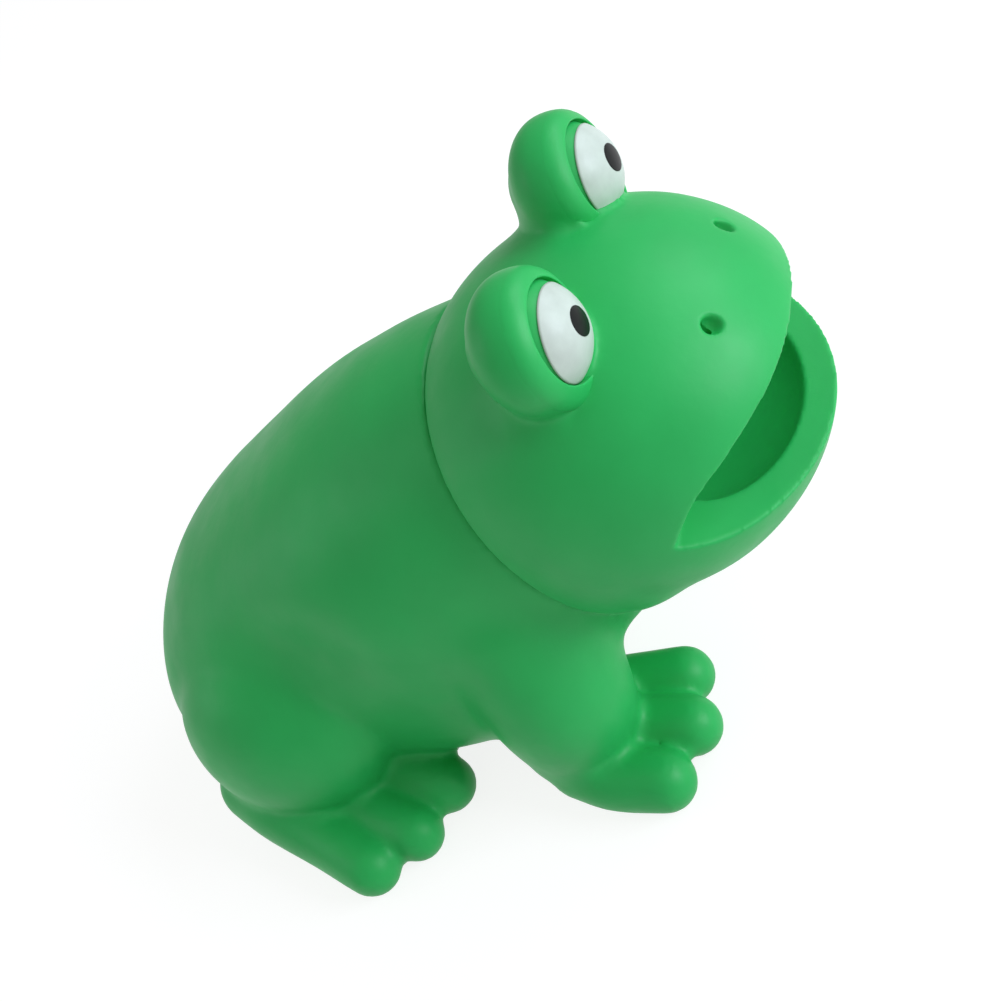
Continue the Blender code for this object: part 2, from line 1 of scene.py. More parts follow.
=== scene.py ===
"""Squeaky frog dog toy in soft green vinyl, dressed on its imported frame.

Each operator makes one piece or one group of like pieces. Forms are written in millimetres in two
frames: the ground frame of the whole toy, and the neck frame that the head turns with."""

import json
import math

import bmesh
import bpy
import numpy as np
from bpy.props import FloatProperty, FloatVectorProperty, PointerProperty
from mathutils import Matrix, Vector


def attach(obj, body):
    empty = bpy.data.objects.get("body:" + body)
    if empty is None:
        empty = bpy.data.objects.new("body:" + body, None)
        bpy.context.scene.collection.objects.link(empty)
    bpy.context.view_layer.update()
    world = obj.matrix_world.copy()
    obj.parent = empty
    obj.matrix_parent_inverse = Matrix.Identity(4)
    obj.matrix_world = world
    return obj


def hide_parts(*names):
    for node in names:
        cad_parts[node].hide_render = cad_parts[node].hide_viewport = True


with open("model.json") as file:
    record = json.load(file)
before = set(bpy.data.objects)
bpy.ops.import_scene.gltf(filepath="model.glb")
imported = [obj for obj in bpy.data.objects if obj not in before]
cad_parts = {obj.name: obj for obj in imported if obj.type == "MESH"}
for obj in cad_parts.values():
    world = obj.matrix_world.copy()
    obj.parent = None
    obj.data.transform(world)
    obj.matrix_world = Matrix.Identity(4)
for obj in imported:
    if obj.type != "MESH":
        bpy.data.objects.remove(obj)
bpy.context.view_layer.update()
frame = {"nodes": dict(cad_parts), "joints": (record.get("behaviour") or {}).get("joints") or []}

bl_info = {
    "name": "Squeaky frog dog toy",
    "version": (1, 0, 0),
    "blender": (4, 5, 0),
    "location": "View3D > Sidebar > Frog toy",
    "description": "Makes a soft vinyl frog with a turning head and a squeaker in its belly",
    "category": "Object",
}

MM = 0.001
SIDES = (("left", 1), ("right", -1))

# The neck's place and axis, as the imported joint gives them
NECK_JOINT = next(joint for joint in frame["joints"] if joint["name"] == "neck_swivel")
NECK_POINT = Vector(NECK_JOINT["pos_m"])
NECK_AXIS = Vector(NECK_JOINT["axis"])
NECK_PITCH = math.atan2(NECK_AXIS.z, -NECK_AXIS.y)
NECK_AHEAD = -NECK_POINT.y / MM
NECK = Matrix.Translation(NECK_POINT) @ Matrix.Rotation(-NECK_PITCH, 4, "X")
SEAM_GAP = 0.6

# The torso, as rows of: distance behind the neck seam, rise of the middle, half width, height, depth
TORSO = (
    (-6.0, 0.0, 26.6, 26.4, 26.6),
    (0.0, 0.0, 27.2, 27.0, 27.0),
    (14.0, 0.2, 29.5, 29.2, 28.7),
    (30.0, 0.8, 32.0, 29.0, 31.6),
    (48.0, 1.6, 31.2, 26.8, 30.4),
    (66.0, 1.8, 31.5, 25.1, 25.6),
    (92.0, 2.0, 32.5, 25.0, 23.0),
)
TORSO_FRONT = -6.0
RUMP_START = 56.0
TORSO_LENGTH = 92.0
RUMP_FULLNESS = 2.3
FLANK_FULLNESS = 3.4
BACK_FULLNESS = ((20.0, 2.0), (40.0, 2.15), (60.0, 2.15), (75.0, 2.0))
BELLY_FULLNESS = ((0.0, 2.0), (32.0, 4.0), (45.0, 4.0), (65.0, 2.7))

# The head's outline from the side, as radii every 30 degrees from straight ahead up and round
HEAD_MIDDLE_AHEAD = 14.0
HEAD_HALF_WIDTH = 31.0
HEAD_RADII = (31.4, 29.9, 28.4, 28.5, 30.0, 30.4, 30.0, 30.4, 28.7, 24.7, 27.3, 30.4)
HEAD_FULLNESS = 2.15

# The mouth from the side, as rows of distance ahead and rise from its corners along each lip
UPPER_LIP = (
    (24.0, -3.7),
    (27.0, -1.9),
    (30.0, -0.5),
    (33.0, 0.1),
    (36.5, 0.3),
    (42.0, 0.3),
    (50.0, 0.3),
)
LOWER_LIP = (
    (26.4, -6.7),
    (28.6, -9.1),
    (31.0, -11.2),
    (33.6, -13.1),
    (36.4, -15.0),
    (40.0, -17.2),
    (50.0, -23.0),
)
MOUTH_HALF_WIDTH = 50
POCKET_MIDDLE = (0.0, -26.8, -4.0)
POCKET_TILT = -19.5
POCKET_RADII = (20.6, 15.0, 10.4)

# Eyes and nostrils, on the left side, in the neck's own frame. Dips and edges are in degrees
EYE_MIDDLE = (16.1, -25.8, 26.7)
EYE_BALL_GAP = 0.1
HOOD_EDGE = 3.3
HOOD_BACK = 7.0
HOOD_FRONT_FADE = (2.0, -2.0)
WHITE_DIP = 19.7
WHITE_EDGE = 53.4
WHITE_THICK = 0.6
PUPIL_DIP = 11.0
PUPIL_THICK = 0.2
NOSTRIL = (9.6, -41.4, 10.2)
NOSTRIL_RADII = (1.35, 2.2, 1.4)
NOSTRIL_HOLE = (0.0, 1.9, 0.3)
NOSTRIL_HOLE_RADII = (0.7, 0.8, 2.4)

# The lid round each eye, as rows of radius and distance ahead of the eye's middle. It droops a little
# at the bottom, over a span in radians
LID_DIP = 13.5
LID_DROOP = 1.3
LID_DROOP_SPAN = 0.55
LID_DROOP_AHEAD = 0.6
LID = (
    (7.06, 4.2),
    (7.06, 2.0),
    (8.6, 0.8),
    (9.3, 1.2),
    (9.52, 1.9),
    (9.45, 2.4),
    (9.25, 3.0),
    (8.93, 3.55),
    (8.5, 4.08),
    (8.05, 4.42),
    (7.65, 4.68),
    (7.4, 4.82),
    (7.25, 4.87),
    (7.13, 4.8),
)

# Legs of the left side: rows of x, y behind the neck seam, height and radius
THIGH_MIDDLE = (25.5, 60.8, 19.8)
THIGH_RADII = (14.4, 19.7, 18.8)
THIGH_SPLAY = 10.0
THIGH_LEAN = 12.0
REAR_TOES = (
    ((29.9, 73.5, 8.0, 7.2), (34.4, 66.2, 6.8, 7.1), (40.2, 56.7, 5.0, 5.9), (46.0, 47.5, 4.4, 5.0)),
    ((30.0, 62.0, 5.5, 6.2), (35.0, 51.6, 4.8, 5.6), (40.3, 40.3, 4.3, 4.8)),
    ((26.0, 50.0, 6.0, 6.4), (31.6, 36.2, 4.6, 5.0)),
)
ARM = ((20.0, 12.2, 34.0, 12.8), (25.0, 9.9, 21.0, 12.3), (25.6, 10.4, 9.8, 10.6))
FRONT_TOES = (
    ((30.5, 10.4, 5.8, 6.2), (33.2, 4.6, 4.8, 5.5), (34.5, -3.6, 4.4, 5.1)),
    ((24.0, 6.0, 4.6, 5.2), (24.9, -7.1, 4.4, 5.0)),
    ((15.8, 6.0, 4.6, 5.0), (15.2, -5.0, 4.4, 4.9)),
)

# Where the creases of the body are filled, as ranges over which the fill grows, and how much
ABOVE_FEET = (11.0, 18.0)
HAUNCH_BEHIND = (23.0, 35.0)
WRIST_BEHIND = (4.0, 9.0)
ARM_FILL = 0.35
HAUNCH_FILL = 0.1
WRIST_FILL = 0.6
BODY_FILL_ROUNDS = 160
HEAD_FILL_ROUNDS = 200

# The head's steps as shares of the skin step, before and after its mouth is cut, and the faces it keeps
HEAD_ROUGH_SKIN = 0.85
HEAD_FINE_SKIN = 0.43
HEAD_FACES_KEPT = 0.4
HEAD_SHARP_ANGLE = 50.0

# The hollow over each haunch, as distance behind the neck seam and height
FLANK_MIDDLE = (46.0, 41.0)
FLANK_SPAN = (14.0, 7.0)
FLANK_DEPTH = 2.6
FLANK_INSIDE = 15.0

# The squeaker's flange, in its own frame: Z runs inwards from its outer face
SQUEAKER_BEHIND = 40.0
SQUEAKER_HEIGHT = 2.4
SQUEAKER_TILT = 4.0
FLANGE_RADIUS = 10.5
FLANGE_THICK = 1.6
BARREL_RADIUS = 7.7
BARREL_BORE = 6.3
BARREL_LENGTH = 15.0
HOUSING_FLOOR = 2.0
SOUND_HOLE = 2.2
FIT_GAP = 0.3
BELLY_HOLE = (-9.0, 18.0)
EDGE_ROUND = 0.12

# The stage in metres: where the lights stand, and the camera as the photo was taken
LIGHT_SPOTS = {
    "key": (0.0, -0.644, 0.341),
    "side": (0.368, -0.378, 0.513),
    "rear": (-0.164, 0.603, 0.341),
}
LIGHT_AIM = (0.0, -0.01, 0.045)
LIGHT_SIZE = 0.35
LIGHT_COLOUR = (0.92, 1.0, 1.12)
SKY_COLOUR = (1.0, 1.0, 0.95, 1.0)
FLOOR_HALF = 6.0
CAMERA_FROM_NECK = (-0.14894, -0.09269, 0.14647)
CAMERA_RIGHT = (0.1719, -0.8787, -0.4453)
CAMERA_BACK = (-0.6159, -0.4486, 0.6476)
CAMERA_LENS = 53.9
CAMERA_SENSOR = 36.0
CAMERA_NEAREST = 0.01


class FrogSizes(bpy.types.PropertyGroup):
    """Sizes that a maker of the toy would change."""

    eye_radius: FloatProperty(
        name="Eye radius",
        description="Radius of the ball moulded for each eye",
        default=8.2 * MM,
        min=6 * MM,
        max=9 * MM,
        unit="LENGTH",
    )
    hood_radius: FloatProperty(
        name="Hood radius",
        description="Radius of the hood behind each eye",
        default=9.8 * MM,
        min=9 * MM,
        max=12 * MM,
        unit="LENGTH",
    )
    pupil_radius: FloatProperty(
        name="Pupil radius",
        description="Radius of the round pupil on each eye",
        default=2.05 * MM,
        min=1 * MM,
        max=3 * MM,
        unit="LENGTH",
    )
    coat: FloatProperty(
        name="Paint",
        description="How far the eye paint stands on the vinyl",
        default=0.06 * MM,
        min=0.02 * MM,
        max=0.2 * MM,
        unit="LENGTH",
    )
    skin: FloatProperty(
        name="Skin step",
        description="Size of the steps in which the moulded skins are drawn",
        default=0.7 * MM,
        min=0.4 * MM,
        max=2 * MM,
        unit="LENGTH",
    )


class FrogFinishes(bpy.types.PropertyGroup):
    """Colours of the toy."""

    vinyl: FloatVectorProperty(
        name="Vinyl",
        description="Green of the moulded vinyl",
        subtype="COLOR",
        default=(0.02, 0.45, 0.10),
        min=0,
        max=1,
    )
    eye_white: FloatVectorProperty(
        name="Eye white",
        description="White sprayed on the eyes",
        subtype="COLOR",
        default=(0.565, 0.635, 0.57),
        min=0,
        max=1,
    )
    pupil: FloatVectorProperty(
        name="Pupil",
        description="Black printed on the eyes",
        subtype="COLOR",
        default=(0.004, 0.005, 0.005),
        min=0,
        max=1,
    )
    squeaker: FloatVectorProperty(
        name="Squeaker",
        description="Plastic of the squeaker's housing",
        subtype="COLOR",
        default=(0.70, 0.70, 0.67),
        min=0,
        max=1,
    )


class FrogStage(bpy.types.PropertyGroup):
    """Light on the toy."""

    key: FloatProperty(
        name="Key light",
        description="Power of the large soft light in front",
        default=2.8,
        min=0,
        unit="POWER",
    )
    side: FloatProperty(
        name="Side light",
        description="Power of the soft light above the left side",
        default=1.5,
        min=0,
        unit="POWER",
    )
    rear: FloatProperty(
        name="Rear light",
        description="Power of the soft light behind",
        default=0.5,
        min=0,
        unit="POWER",
    )
    sky: FloatProperty(
        name="Sky",
        description="Strength of the even light from all round",
        default=0.4,
        min=0,
    )


def turns(count):
    return [2 * math.pi * i / count for i in range(count)]


def mirrored(point, side):
    return Vector((side * point[0], point[1], point[2]))


def bridge(bm, rings, closed=False):
    """Adds a skin over rings of points, in millimetres, and hands back their loops."""
    loops = [[bm.verts.new(Vector(point) * MM) for point in ring] for ring in rings]
    for near, far in zip(loops, loops[1:] + loops[:1] if closed else loops[1:]):
        for i in range(len(near)):
            bm.faces.new((near[i - 1], near[i], far[i], far[i - 1]))
    return loops


def loft(bm, rings):
    """Adds a skin over rings of points and closes its ends."""
    loops = bridge(bm, rings)
    bm.faces.new(loops[0])
    bm.faces.new(loops[-1])


def curve_between(before, start, end, after, t):
    """A point on the smooth curve through four values, between the middle two."""
    linear = end - before
    square = 2 * before - 5 * start + 4 * end - after
    cubic = 3 * start - before - 3 * end + after
    return start + 0.5 * (linear * t + square * t**2 + cubic * t**3)


def smooth_rows(rows, count):
    """Rows read along a smooth curve that passes through each given row."""
    rows = np.array(rows, float)
    steps = np.linspace(0, len(rows) - 1, count)
    low = np.minimum(steps.astype(int), len(rows) - 2)
    padded = np.vstack([2 * rows[0] - rows[1], rows, 2 * rows[-1] - rows[-2]])
    return curve_between(*(padded[low + k] for k in range(4)), (steps - low)[:, None])


def around(values, angle):
    """One of the values spaced evenly round a turn, read on a smooth closed curve."""
    step = angle / (2 * math.pi) * len(values)
    low = math.floor(step)
    near = [values[(low + k) % len(values)] for k in range(-1, 3)]
    return curve_between(*near, step - low)


def fuller(angle, fullness):
    """The cosine and sine of an angle, pushed out from a circle to a squarer round."""
    pair = (math.cos(angle), math.sin(angle))
    return [math.copysign(abs(value) ** (2.0 / fullness), value) for value in pair]


def ellipsoid(bm, middle, radii, turn=None, detail=48):
    """Adds an ellipsoid in millimetres."""
    axes = (turn or Matrix()) @ Matrix.Diagonal((*radii, 1.0))
    matrix = Matrix.Diagonal((MM, MM, MM, 1.0)) @ Matrix.Translation(middle) @ axes
    rings = detail * 2 // 3
    bmesh.ops.create_uvsphere(bm, u_segments=detail, v_segments=rings, radius=1.0, matrix=matrix)


def tube(bm, points, radii, level, sides=28):
    """Adds a tapered tube with round ends through the points, in millimetres."""
    last = len(points) - 1
    steps = [points[min(i + 1, last)] - points[max(i - 1, 0)] for i in range(last + 1)]
    heading = [step.normalized() for step in steps]
    stops = list(zip(points, heading, radii))
    for end, way in ((0, -1), (last, 1)):
        for a in [math.radians(angle) for angle in (15, 30, 45, 60, 75, 87)]:
            middle = points[end] + way * radii[end] * math.sin(a) * heading[end]
            stop = (middle, heading[end], radii[end] * math.cos(a))
            stops.insert(0 if way < 0 else len(stops), stop)
    rings = []
    for middle, along, radius in stops:
        across = along.cross(level).normalized()
        over = along.cross(across)
        ring = [math.cos(a) * across + math.sin(a) * over for a in turns(sides)]
        rings.append([middle + radius * spoke for spoke in ring])
    loft(bm, rings)


def limb(bm, rows, side):
    """Adds a limb or toe through rows of x, y behind the seam, height and radius."""
    rows = smooth_rows(rows, 24).tolist()
    points = [Vector((side * x, y - NECK_AHEAD, z)) for x, y, z, _ in rows]
    tube(bm, points, [radius for *_, radius in rows], Vector((1, 0, 0)))


def torso(bm, count=70, sides=96):
    """Adds the torso, a long egg that starts round at the neck and closes in a round rump."""
    stops = smooth_rows(TORSO, 400)
    rings = []
    reach = TORSO_LENGTH - TORSO_FRONT
    for behind in TORSO_LENGTH - reach * (1 - np.cos(np.linspace(0.03, math.pi / 2, count))):
        _, rise, width, height, depth = (np.interp(behind, stops[:, 0], column) for column in stops.T)
        gone = max((behind - RUMP_START) / (TORSO_LENGTH - RUMP_START), 0.0)
        fullness = (RUMP_FULLNESS, FLANK_FULLNESS)
        close, narrow = (max(1 - gone**full, 1e-4) ** (1 / full) for full in fullness)
        back, belly = (np.interp(behind, *zip(*rows)) for rows in (BACK_FULLNESS, BELLY_FULLNESS))
        ring = []
        for a in turns(sides):
            above = math.sin(a) > 0
            out, up = fuller(a, back if above else belly)
            tall = height if above else depth
            ring.append((out * narrow * width, behind, rise + up * close * tall))
        rings.append([NECK @ (Vector(point) * MM) / MM for point in ring])
    loft(bm, rings)


def head_ball(bm, count=61, sides=96):
    """Adds the head, with its side outline swept out to the cheeks."""
    rings = []
    for lean in np.linspace(-0.495, 0.495, count) * math.pi:
        ring = []
        for a in turns(sides):
            swell = (HEAD_FULLNESS - 2.0) * (1 + math.sin(a)) / 2
            inwards, sideways = fuller(lean, 2.0 + swell)
            reach = around(HEAD_RADII, a) * inwards
            ahead = HEAD_MIDDLE_AHEAD + reach * math.cos(a)
            ring.append((HEAD_HALF_WIDTH * sideways, -ahead, reach * math.sin(a)))
        rings.append(ring)
    loft(bm, rings)


def eye_axes(side, dip):
    """The middle of an eye, with the way it faces and the way up across its face."""
    lean = math.radians(dip)
    facing = Vector((0, -math.cos(lean), -math.sin(lean)))
    upwards = Vector((0, -math.sin(lean), math.cos(lean)))
    return mirrored(EYE_MIDDLE, side), facing, upwards


def hood(bm, side, radius):
    """Adds the hood of an eye: a ball with its front cut away where the lid runs."""
    middle, facing, upwards = eye_axes(side, LID_DIP)
    rings = []
    for ahead in np.linspace(-0.999 * HOOD_BACK, HOOD_EDGE, 40).tolist():
        wide = radius * math.sqrt(1 - (ahead / (HOOD_BACK if ahead < 0 else radius)) ** 2)
        centre = middle + facing * ahead
        across = Vector((wide, 0, 0))
        tall = wide * upwards
        rings.append([centre + math.cos(a) * across + math.sin(a) * tall for a in turns(48)])
    loft(bm, rings)


def eye_lid(bm, side):
    """Adds the lid, a ring round an eye with a thin front edge that stands just off the ball."""
    middle, facing, upwards = eye_axes(side, LID_DIP)
    rings = []
    for a in turns(120):
        spoke = Vector((math.cos(a), 0, 0)) + math.sin(a) * upwards
        droop = LID_DROOP * math.exp(-(((a - 1.5 * math.pi) / LID_DROOP_SPAN) ** 2))
        ring = []
        for radius, ahead in LID:
            out = radius + droop * (radius - LID[0][0]) / 2
            ring.append(middle + (ahead + LID_DROOP_AHEAD * droop) * facing + out * spoke)
        rings.append(ring)
    bridge(bm, rings, closed=True)


def turned(bm, profile, segments=96):
    """Adds a shape turned about Z from a closed profile of radius and height, in millimetres."""
    loop = [bm.verts.new((radius * MM, 0.0, height * MM)) for radius, height in profile]
    edges = [bm.edges.new((loop[i - 1], loop[i])) for i in range(len(loop))]
    axis = {"axis": (0, 0, 1), "cent": (0, 0, 0), "angle": 2 * math.pi}
    bmesh.ops.spin(bm, geom=loop + edges, steps=segments, **axis)
    bmesh.ops.remove_doubles(bm, verts=bm.verts, dist=0.001 * MM)
    bmesh.ops.dissolve_degenerate(bm, edges=bm.edges, dist=0.001 * MM)


def place(name, bm):
    """Puts a closed mesh in the scene, in the row frame."""
    bmesh.ops.recalc_face_normals(bm, faces=bm.faces)
    mesh = bpy.data.meshes.new(name)
    bm.to_mesh(mesh)
    bm.free()
    mesh.shade_smooth()
    item = bpy.data.objects.new(name, mesh)
    bpy.context.scene.collection.objects.link(item)
    return item


def settle(item):
    """Keeps what the modifiers make as the piece's own mesh."""
    graph = bpy.context.evaluated_depsgraph_get()
    made = bpy.data.meshes.new_from_object(item.evaluated_get(graph))
    item.modifiers.clear()
    old = item.data
    item.data = made
    bpy.data.meshes.remove(old)
    made.shade_smooth()


def melt(item, step, rounds, keep=1.0):
    """Melts what overlaps into one moulded skin, softens it and keeps a share of its faces."""
    remesh = item.modifiers.new("Melt", "REMESH")
    remesh.mode = "VOXEL"
    remesh.voxel_size = step
    soften = item.modifiers.new("Soften", "SMOOTH")
    soften.factor = 0.5
    soften.iterations = rounds
    if keep < 1:
        thin = item.modifiers.new("Thin", "DECIMATE")
        thin.ratio = keep
    settle(item)


def points_of(mesh):
    """The mesh's points as rows of coordinates."""
    points = np.empty(len(mesh.vertices) * 3)
    mesh.vertices.foreach_get("co", points)
    return points.reshape(-1, 3)


def move_points(mesh, points):
    mesh.vertices.foreach_set("co", points.ravel())
    mesh.update()


def fill_creases(item, weigh, rounds):
    """Fills the hollows of a skin as soft fillets, by a weight for each point, and leaves its rounds."""
    mesh = item.data
    points = points_of(mesh)
    edges = np.empty(len(mesh.edges) * 2, int)
    mesh.edges.foreach_get("vertices", edges)
    ends = np.concatenate([edges[0::2], edges[1::2]])
    others = np.concatenate([edges[1::2], edges[0::2]])
    share = (0.6 * weigh(points / MM) / np.bincount(ends))[:, None]
    normals = np.empty(len(points) * 3)
    for count in range(rounds):
        if count % 10 == 0:
            move_points(mesh, points)
            mesh.vertex_normals.foreach_get("vector", normals)
            facing = normals.reshape(-1, 3)
        pull = [np.bincount(ends, points[others, axis] - points[ends, axis]) for axis in range(3)]
        lift = np.einsum("ij,ij->i", np.transpose(pull), facing)
        points += share * np.maximum(lift, 0.0)[:, None] * facing
    move_points(mesh, points)


def fade(values, start, end):
    """Goes smoothly from 0 at the start value to 1 at the end value."""
    share = np.clip((values - start) / (end - start), 0.0, 1.0)
    return share * share * (3 - 2 * share)


def join(item, bm, operation="DIFFERENCE"):
    """Cuts a closed shape out of a piece, or adds it to the piece."""
    other = place("joined", bm)
    step = item.modifiers.new("Join", "BOOLEAN")
    step.operation = operation
    step.solver = "EXACT"
    step.object = other
    settle(item)
    mesh = other.data
    bpy.data.objects.remove(other)
    bpy.data.meshes.remove(mesh)


def drop_flaps(item):
    """Takes out the thin pairs of faces, back to back, that joining shapes leaves."""
    bm = bmesh.new()
    bm.from_mesh(item.data)
    bmesh.ops.remove_doubles(bm, verts=bm.verts, dist=0.0005 * MM)
    bmesh.ops.triangulate(bm, faces=bm.faces)
    alike = {}
    for face in bm.faces:
        alike.setdefault(frozenset(face.verts), []).append(face)
    flaps = [face for faces in alike.values() if len(faces) > 1 for face in faces]
    bmesh.ops.delete(bm, geom=flaps, context="FACES")
    bm.to_mesh(item.data)
    bm.free()


def slice_off(item, point, outwards):
    """Cuts a piece flat at a plane and closes it there."""
    bm = bmesh.new()
    bm.from_mesh(item.data)
    geometry = bm.verts[:] + bm.edges[:] + bm.faces[:]
    plane = {"plane_co": point, "plane_no": outwards}
    cut = bmesh.ops.bisect_plane(bm, geom=geometry, clear_outer=True, **plane)
    edges = [part for part in cut["geom_cut"] if isinstance(part, bmesh.types.BMEdge)]
    bmesh.ops.holes_fill(bm, edges=edges, sides=0)
    bm.to_mesh(item.data)
    bm.free()


def to_neck(item):
    """Carries a piece made in the neck's frame to its place on the toy."""
    item.data.transform(NECK)


def finish_piece(item, finish, body, slot, *nodes):
    """Gives a piece its finish and the body that it moves with."""
    item.data.materials.clear()
    item.data.materials.append(finish)
    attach(item, body)
    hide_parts(*nodes)


def new_finish(name):
    """An empty finish, with its shader and its node maker."""
    finish = bpy.data.materials.new(name)
    finish.use_nodes = True
    tree = finish.node_tree
    shader = tree.nodes["Principled BSDF"]

    def add(kind, links=None, **settings):
        node = tree.nodes.new(kind)
        for key, value in settings.items():
            setattr(node, key, value)
        for key, value in (links or {}).items():
            if isinstance(value, bpy.types.NodeSocket):
                tree.links.new(value, node.inputs[key])
            else:
                node.inputs[key].default_value = value
        return node

    def feed(socket, key):
        tree.links.new(socket, shader.inputs[key])

    return finish, shader, add, feed


def mottled(add, place_socket, colour, scale, spread):
    """A colour that wanders a little lighter and darker over the surface."""
    cloud = add("ShaderNodeTexNoise", {"Vector": place_socket, "Scale": scale, "Detail": 4.0})
    ramp = add("ShaderNodeValToRGB", {"Fac": cloud.outputs["Fac"]})
    for stop, share, at in zip(ramp.color_ramp.elements, (1 - spread, 1 + spread), (0.3, 0.7)):
        stop.position = at
        stop.color = (*[min(channel * share, 1.0) for channel in colour], 1.0)
    return ramp.outputs["Color"]


def rough_range(add, place_socket, scale, low, high):
    """A roughness that varies between two values, as handling leaves it."""
    cloud = add("ShaderNodeTexNoise", {"Vector": place_socket, "Scale": scale, "Detail": 5.0})
    span = add(
        "ShaderNodeMapRange",
        {"Value": cloud.outputs["Fac"], "From Min": 0.3, "From Max": 0.7, "To Min": low, "To Max": high},
    )
    return span.outputs["Result"]


def fine_bump(add, place_socket, layers):
    """Small unevenness, as layers of: scale, height in metres."""
    normal = None
    for scale, height in layers:
        grain = add("ShaderNodeTexNoise", {"Vector": place_socket, "Scale": scale, "Detail": 3.0})
        links = {"Height": grain.outputs["Fac"], "Strength": 1.0, "Distance": height}
        if normal:
            links["Normal"] = normal
        normal = add("ShaderNodeBump", links).outputs["Normal"]
    return normal


def soft_vinyl(name, colour):
    """Soft satin vinyl: a slow wander of colour, handling marks and a faint skin of the mould."""
    finish, shader, add, feed = new_finish(name)
    spot = add("ShaderNodeTexCoord").outputs["Object"]
    feed(mottled(add, spot, colour, 55.0, 0.06), "Base Color")
    feed(rough_range(add, spot, 160.0, 0.42, 0.52), "Roughness")
    feed(fine_bump(add, spot, ((90.0, 0.00012), (900.0, 0.00002))), "Normal")
    shader.inputs["Specular IOR Level"].default_value = 0.34
    shader.inputs["Subsurface Weight"].default_value = 0.1
    shader.inputs["Subsurface Radius"].default_value = (0.35, 1.0, 0.45)
    shader.inputs["Subsurface Scale"].default_value = 0.0025
    return finish


def sprayed_paint(name, colour, spread, rough, shine):
    """Thin sprayed paint on vinyl, with the fine mottle that a spray mask leaves."""
    finish, shader, add, feed = new_finish(name)
    spot = add("ShaderNodeTexCoord").outputs["Object"]
    feed(mottled(add, spot, colour, 420.0, spread), "Base Color")
    feed(rough_range(add, spot, 300.0, *rough), "Roughness")
    feed(fine_bump(add, spot, ((500.0, 0.00003),)), "Normal")
    shader.inputs["Specular IOR Level"].default_value = shine
    return finish


def moulded_plastic(name, colour, spread):
    """Hard moulded plastic with a fine spark-eroded grain."""
    finish, shader, add, feed = new_finish(name)
    spot = add("ShaderNodeTexCoord").outputs["Object"]
    feed(mottled(add, spot, colour, 240.0, spread), "Base Color")
    feed(rough_range(add, spot, 400.0, 0.36, 0.5), "Roughness")
    feed(fine_bump(add, spot, ((2600.0, 0.00002),)), "Normal")
    shader.inputs["Specular IOR Level"].default_value = 0.5
    return finish


def body_fill(points):
    """How far the body's creases are filled: most at the wrists, and little at the haunches."""
    behind = points[:, 1] + NECK_AHEAD
    haunch = fade(behind, *HAUNCH_BEHIND)
    wrist = fade(behind, *WRIST_BEHIND) * (1 - haunch)
    above = fade(points[:, 2], *ABOVE_FEET)
    return np.maximum(above * (ARM_FILL + (HAUNCH_FILL - ARM_FILL) * haunch), WRIST_FILL * wrist)


def press_flanks(item):
    """Presses in the shallow hollow over each haunch."""
    points = points_of(item.data)
    behind = (points[:, 1] / MM + NECK_AHEAD - FLANK_MIDDLE[0]) / FLANK_SPAN[0]
    above = (points[:, 2] / MM - FLANK_MIDDLE[1]) / FLANK_SPAN[1]
    deep = FLANK_DEPTH * MM * np.exp(-(behind**2) - above**2)
    points[:, 0] -= deep * np.clip(points[:, 0] / (FLANK_INSIDE * MM), -1, 1)
    move_points(item.data, points)


class FROG_OT_body(bpy.types.Operator):
    """Makes the moulded body with its thighs, legs and feet"""

    bl_idname = "frog.body"
    bl_label = "Body"

    def execute(self, context):
        sizes = context.scene.frog_sizes
        bm = bmesh.new()
        torso(bm)
        for _, side in SIDES:
            x, y, z = mirrored(THIGH_MIDDLE, side)
            splay = Matrix.Rotation(side * math.radians(THIGH_SPLAY), 4, "Z")
            lean = Matrix.Rotation(-side * math.radians(THIGH_LEAN), 4, "Y")
            ellipsoid(bm, (x, y - NECK_AHEAD, z), THIGH_RADII, splay @ lean)
            for rows in (ARM, *REAR_TOES, *FRONT_TOES):
                limb(bm, rows, side)
        body = place("frog_body", bm)
        melt(body, sizes.skin, 4)
        fill_creases(body, body_fill, BODY_FILL_ROUNDS)
        press_flanks(body)
        slice_off(body, NECK_POINT, NECK_AXIS)
        slice_off(body, Vector((0, 0, 0)), Vector((0, 0, -1)))
        bm = bmesh.new()
        seat = FLANGE_RADIUS + FIT_GAP
        face = FLANGE_THICK + FIT_GAP
        hole = BARREL_RADIUS + FIT_GAP
        below, inside = BELLY_HOLE
        turned(bm, ((0, inside), (hole, inside), (hole, face), (seat, face), (seat, below), (0, below)))
        bm.transform(squeaker_place())
        join(body, bm)
        melt(body, sizes.skin, 2)
        vinyl = soft_vinyl("body_vinyl", context.scene.frog_finishes.vinyl)
        finish_piece(body, vinyl, "body", "body_vinyl", "body_shell")
        return {"FINISHED"}


def squeaker_place():
    """The middle of the squeaker's flange, square to the belly."""
    spot = Vector((0, SQUEAKER_BEHIND - NECK_AHEAD, SQUEAKER_HEIGHT)) * MM
    return Matrix.Translation(spot) @ Matrix.Rotation(math.radians(-SQUEAKER_TILT), 4, "X")


def mouth_opening(bm):
    """Adds the space between the lips, the same all the way across the head."""
    lower = smooth_rows(LOWER_LIP[::-1] + UPPER_LIP[:1], 80).tolist()
    rows = lower + smooth_rows(UPPER_LIP, 60).tolist()[1:]
    ends = (-MOUTH_HALF_WIDTH, MOUTH_HALF_WIDTH)
    loft(bm, [[(x, -ahead, rise) for ahead, rise in rows] for x in ends])


def mouth_pocket(bm):
    """Adds the rounded hollow behind the lips."""
    tilt = Matrix.Rotation(math.radians(-POCKET_TILT), 4, "X")
    ellipsoid(bm, POCKET_MIDDLE, POCKET_RADII, tilt, 72)


